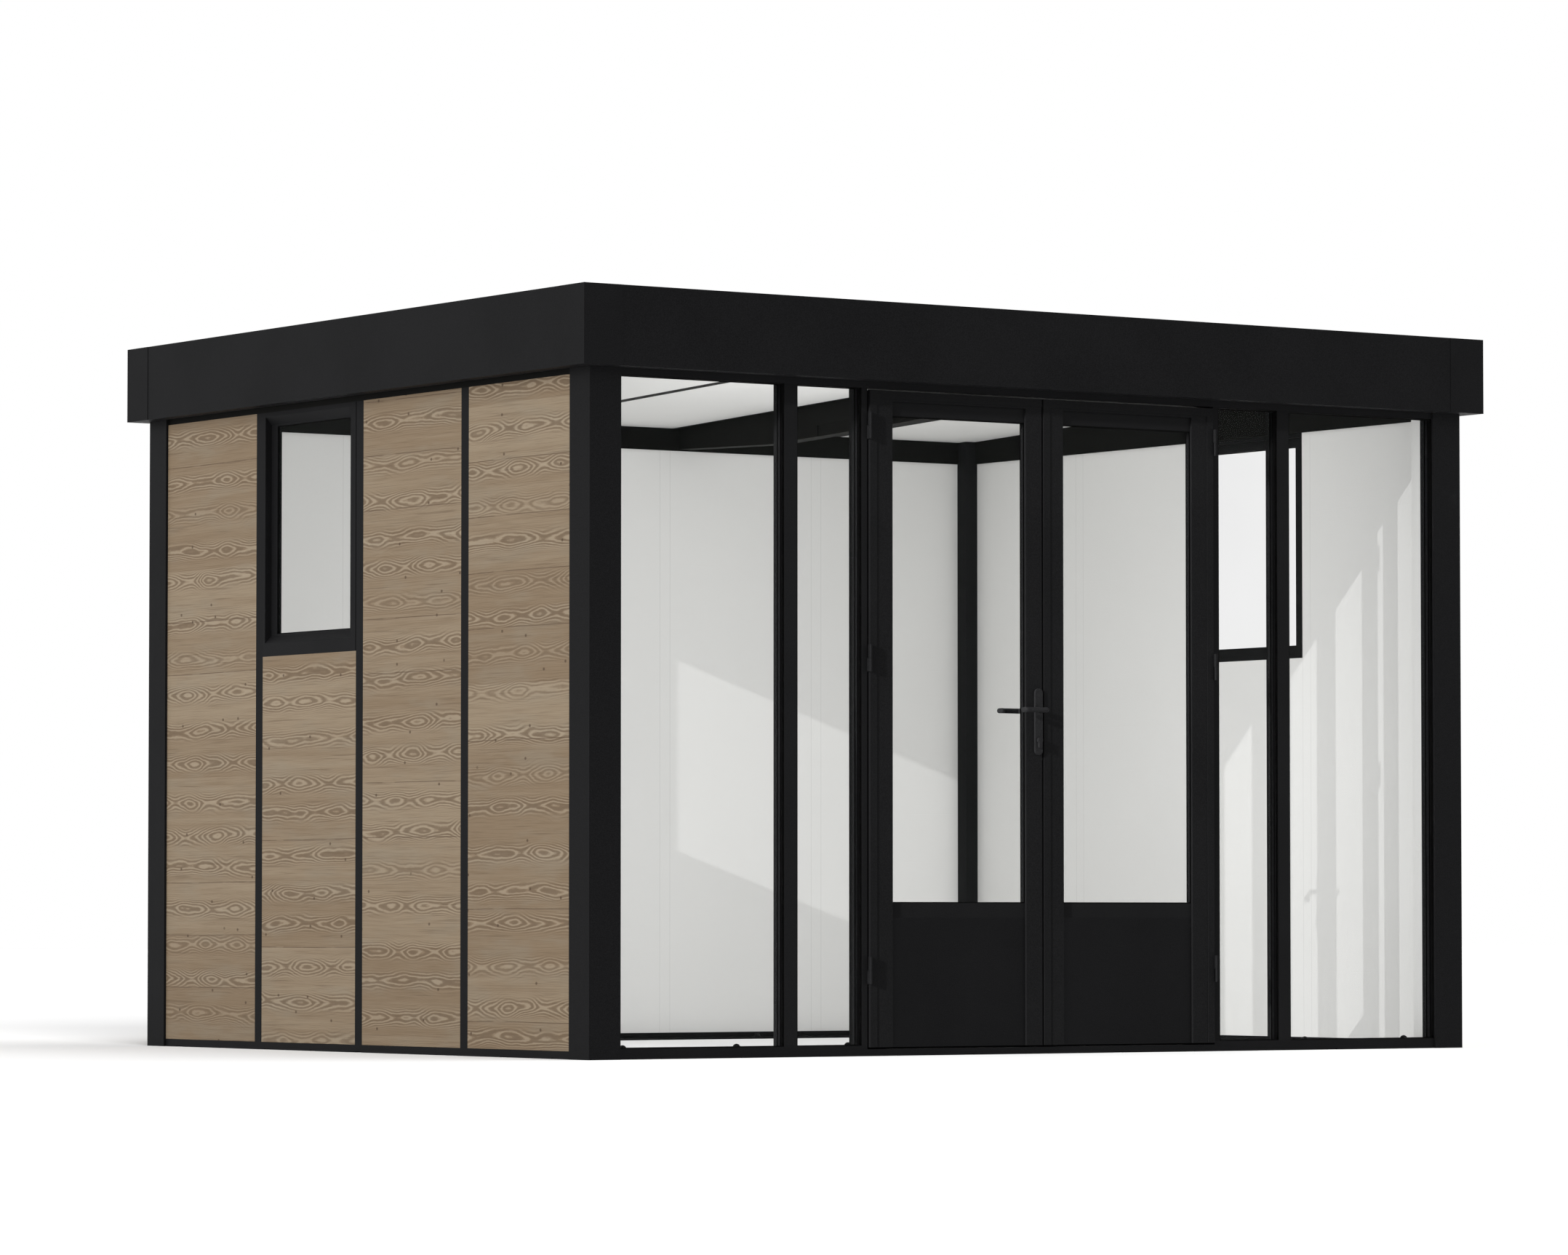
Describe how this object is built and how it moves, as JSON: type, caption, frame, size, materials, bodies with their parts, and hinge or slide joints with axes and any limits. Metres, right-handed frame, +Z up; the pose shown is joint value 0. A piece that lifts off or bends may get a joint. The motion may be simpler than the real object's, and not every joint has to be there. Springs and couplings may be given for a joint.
{
  "type": "garden office pod",
  "caption": "Flat-roofed garden office with black aluminium frame, timber-look clad walls, glazed front, outward-opening double doors and high side windows.",
  "frame": {"origin": "on the ground, in the middle of the plan", "axes": "+X along the glazed front to the right seen from outside, +Y from the front to the rear, +Z up"},
  "size_m": [3.425, 2.777, 2.27],
  "materials": {
    "black_powder_coat": "fine-textured matt powder coat",
    "black_hardware": "satin black",
    "wood_decor_panel": "timber decor with horizontal boards outside, white inside",
    "white_coated_panel": "satin white",
    "clear_glass": "clear double glazing"
  },
  "bodies": {
    "shell": {"base_rail_front": "black_powder_coat", "base_rail_rear": "black_powder_coat", "base_rail_left": "black_powder_coat", "base_rail_right": "black_powder_coat", "corner_post_front_left": "black_powder_coat", "corner_post_front_right": "black_powder_coat", "corner_post_rear_left": "black_powder_coat", "corner_post_rear_right": "black_powder_coat", "left_wall_panels": "wood_decor_panel", "left_wall_joints": "black_powder_coat", "right_wall_panels": "wood_decor_panel", "right_wall_joints": "black_powder_coat", "rear_wall_panels": "wood_decor_panel", "rear_wall_joints": "black_powder_coat", "left_window_frame": "black_powder_coat", "left_window_sash": "black_powder_coat", "left_window_glass": "clear_glass", "right_window_frame": "black_powder_coat", "right_window_sash": "black_powder_coat", "right_window_glass": "clear_glass", "head_beam_front": "black_powder_coat", "head_beam_rear": "black_powder_coat", "head_beam_left": "black_powder_coat", "head_beam_right": "black_powder_coat", "front_mullions": "black_powder_coat", "door_jamb_left": "black_powder_coat", "door_jamb_right": "black_powder_coat", "left_fixed_panes": "clear_glass", "right_fixed_panes": "clear_glass", "frame_hinges_left": "black_powder_coat", "frame_hinges_right": "black_powder_coat", "roof_panels": "white_coated_panel", "roof_joint_bars": "black_powder_coat", "rafter": "black_powder_coat", "fascia_front": "black_powder_coat", "fascia_rear": "black_powder_coat", "fascia_left": "black_powder_coat", "fascia_right": "black_powder_coat", "fascia_corner_covers": "black_powder_coat"},
    "left_door": {"left_leaf": "black_powder_coat", "left_leaf_glass": "clear_glass", "left_leaf_panel": "black_powder_coat", "left_leaf_hinges": "black_powder_coat", "handle_plates": "black_hardware"},
    "right_door": {"right_leaf": "black_powder_coat", "right_leaf_glass": "clear_glass", "right_leaf_panel": "black_powder_coat", "right_leaf_hinges": "black_powder_coat"},
    "lever": {"door_lever": "black_hardware"}
  },
  "joints": [
    {"name": "left_door_hinge", "type": "hinge", "parent": "shell", "child": "left_door", "pos_m": [-0.65775, -1.341, 0], "axis": [0, 0, -1], "range_deg": [0, 110]},
    {"name": "right_door_hinge", "type": "hinge", "parent": "shell", "child": "right_door", "pos_m": [0.65775, -1.341, 0], "axis": [0, 0, 1], "range_deg": [0, 110]},
    {"name": "lever_turn", "type": "hinge", "parent": "left_door", "child": "lever", "pos_m": [-0.02725, -1.334, 1.05], "axis": [0, -1, 0], "range_deg": [0, 40], "stiffness_Nm_per_rad": 2, "springref_deg": -20.05}
  ]
}
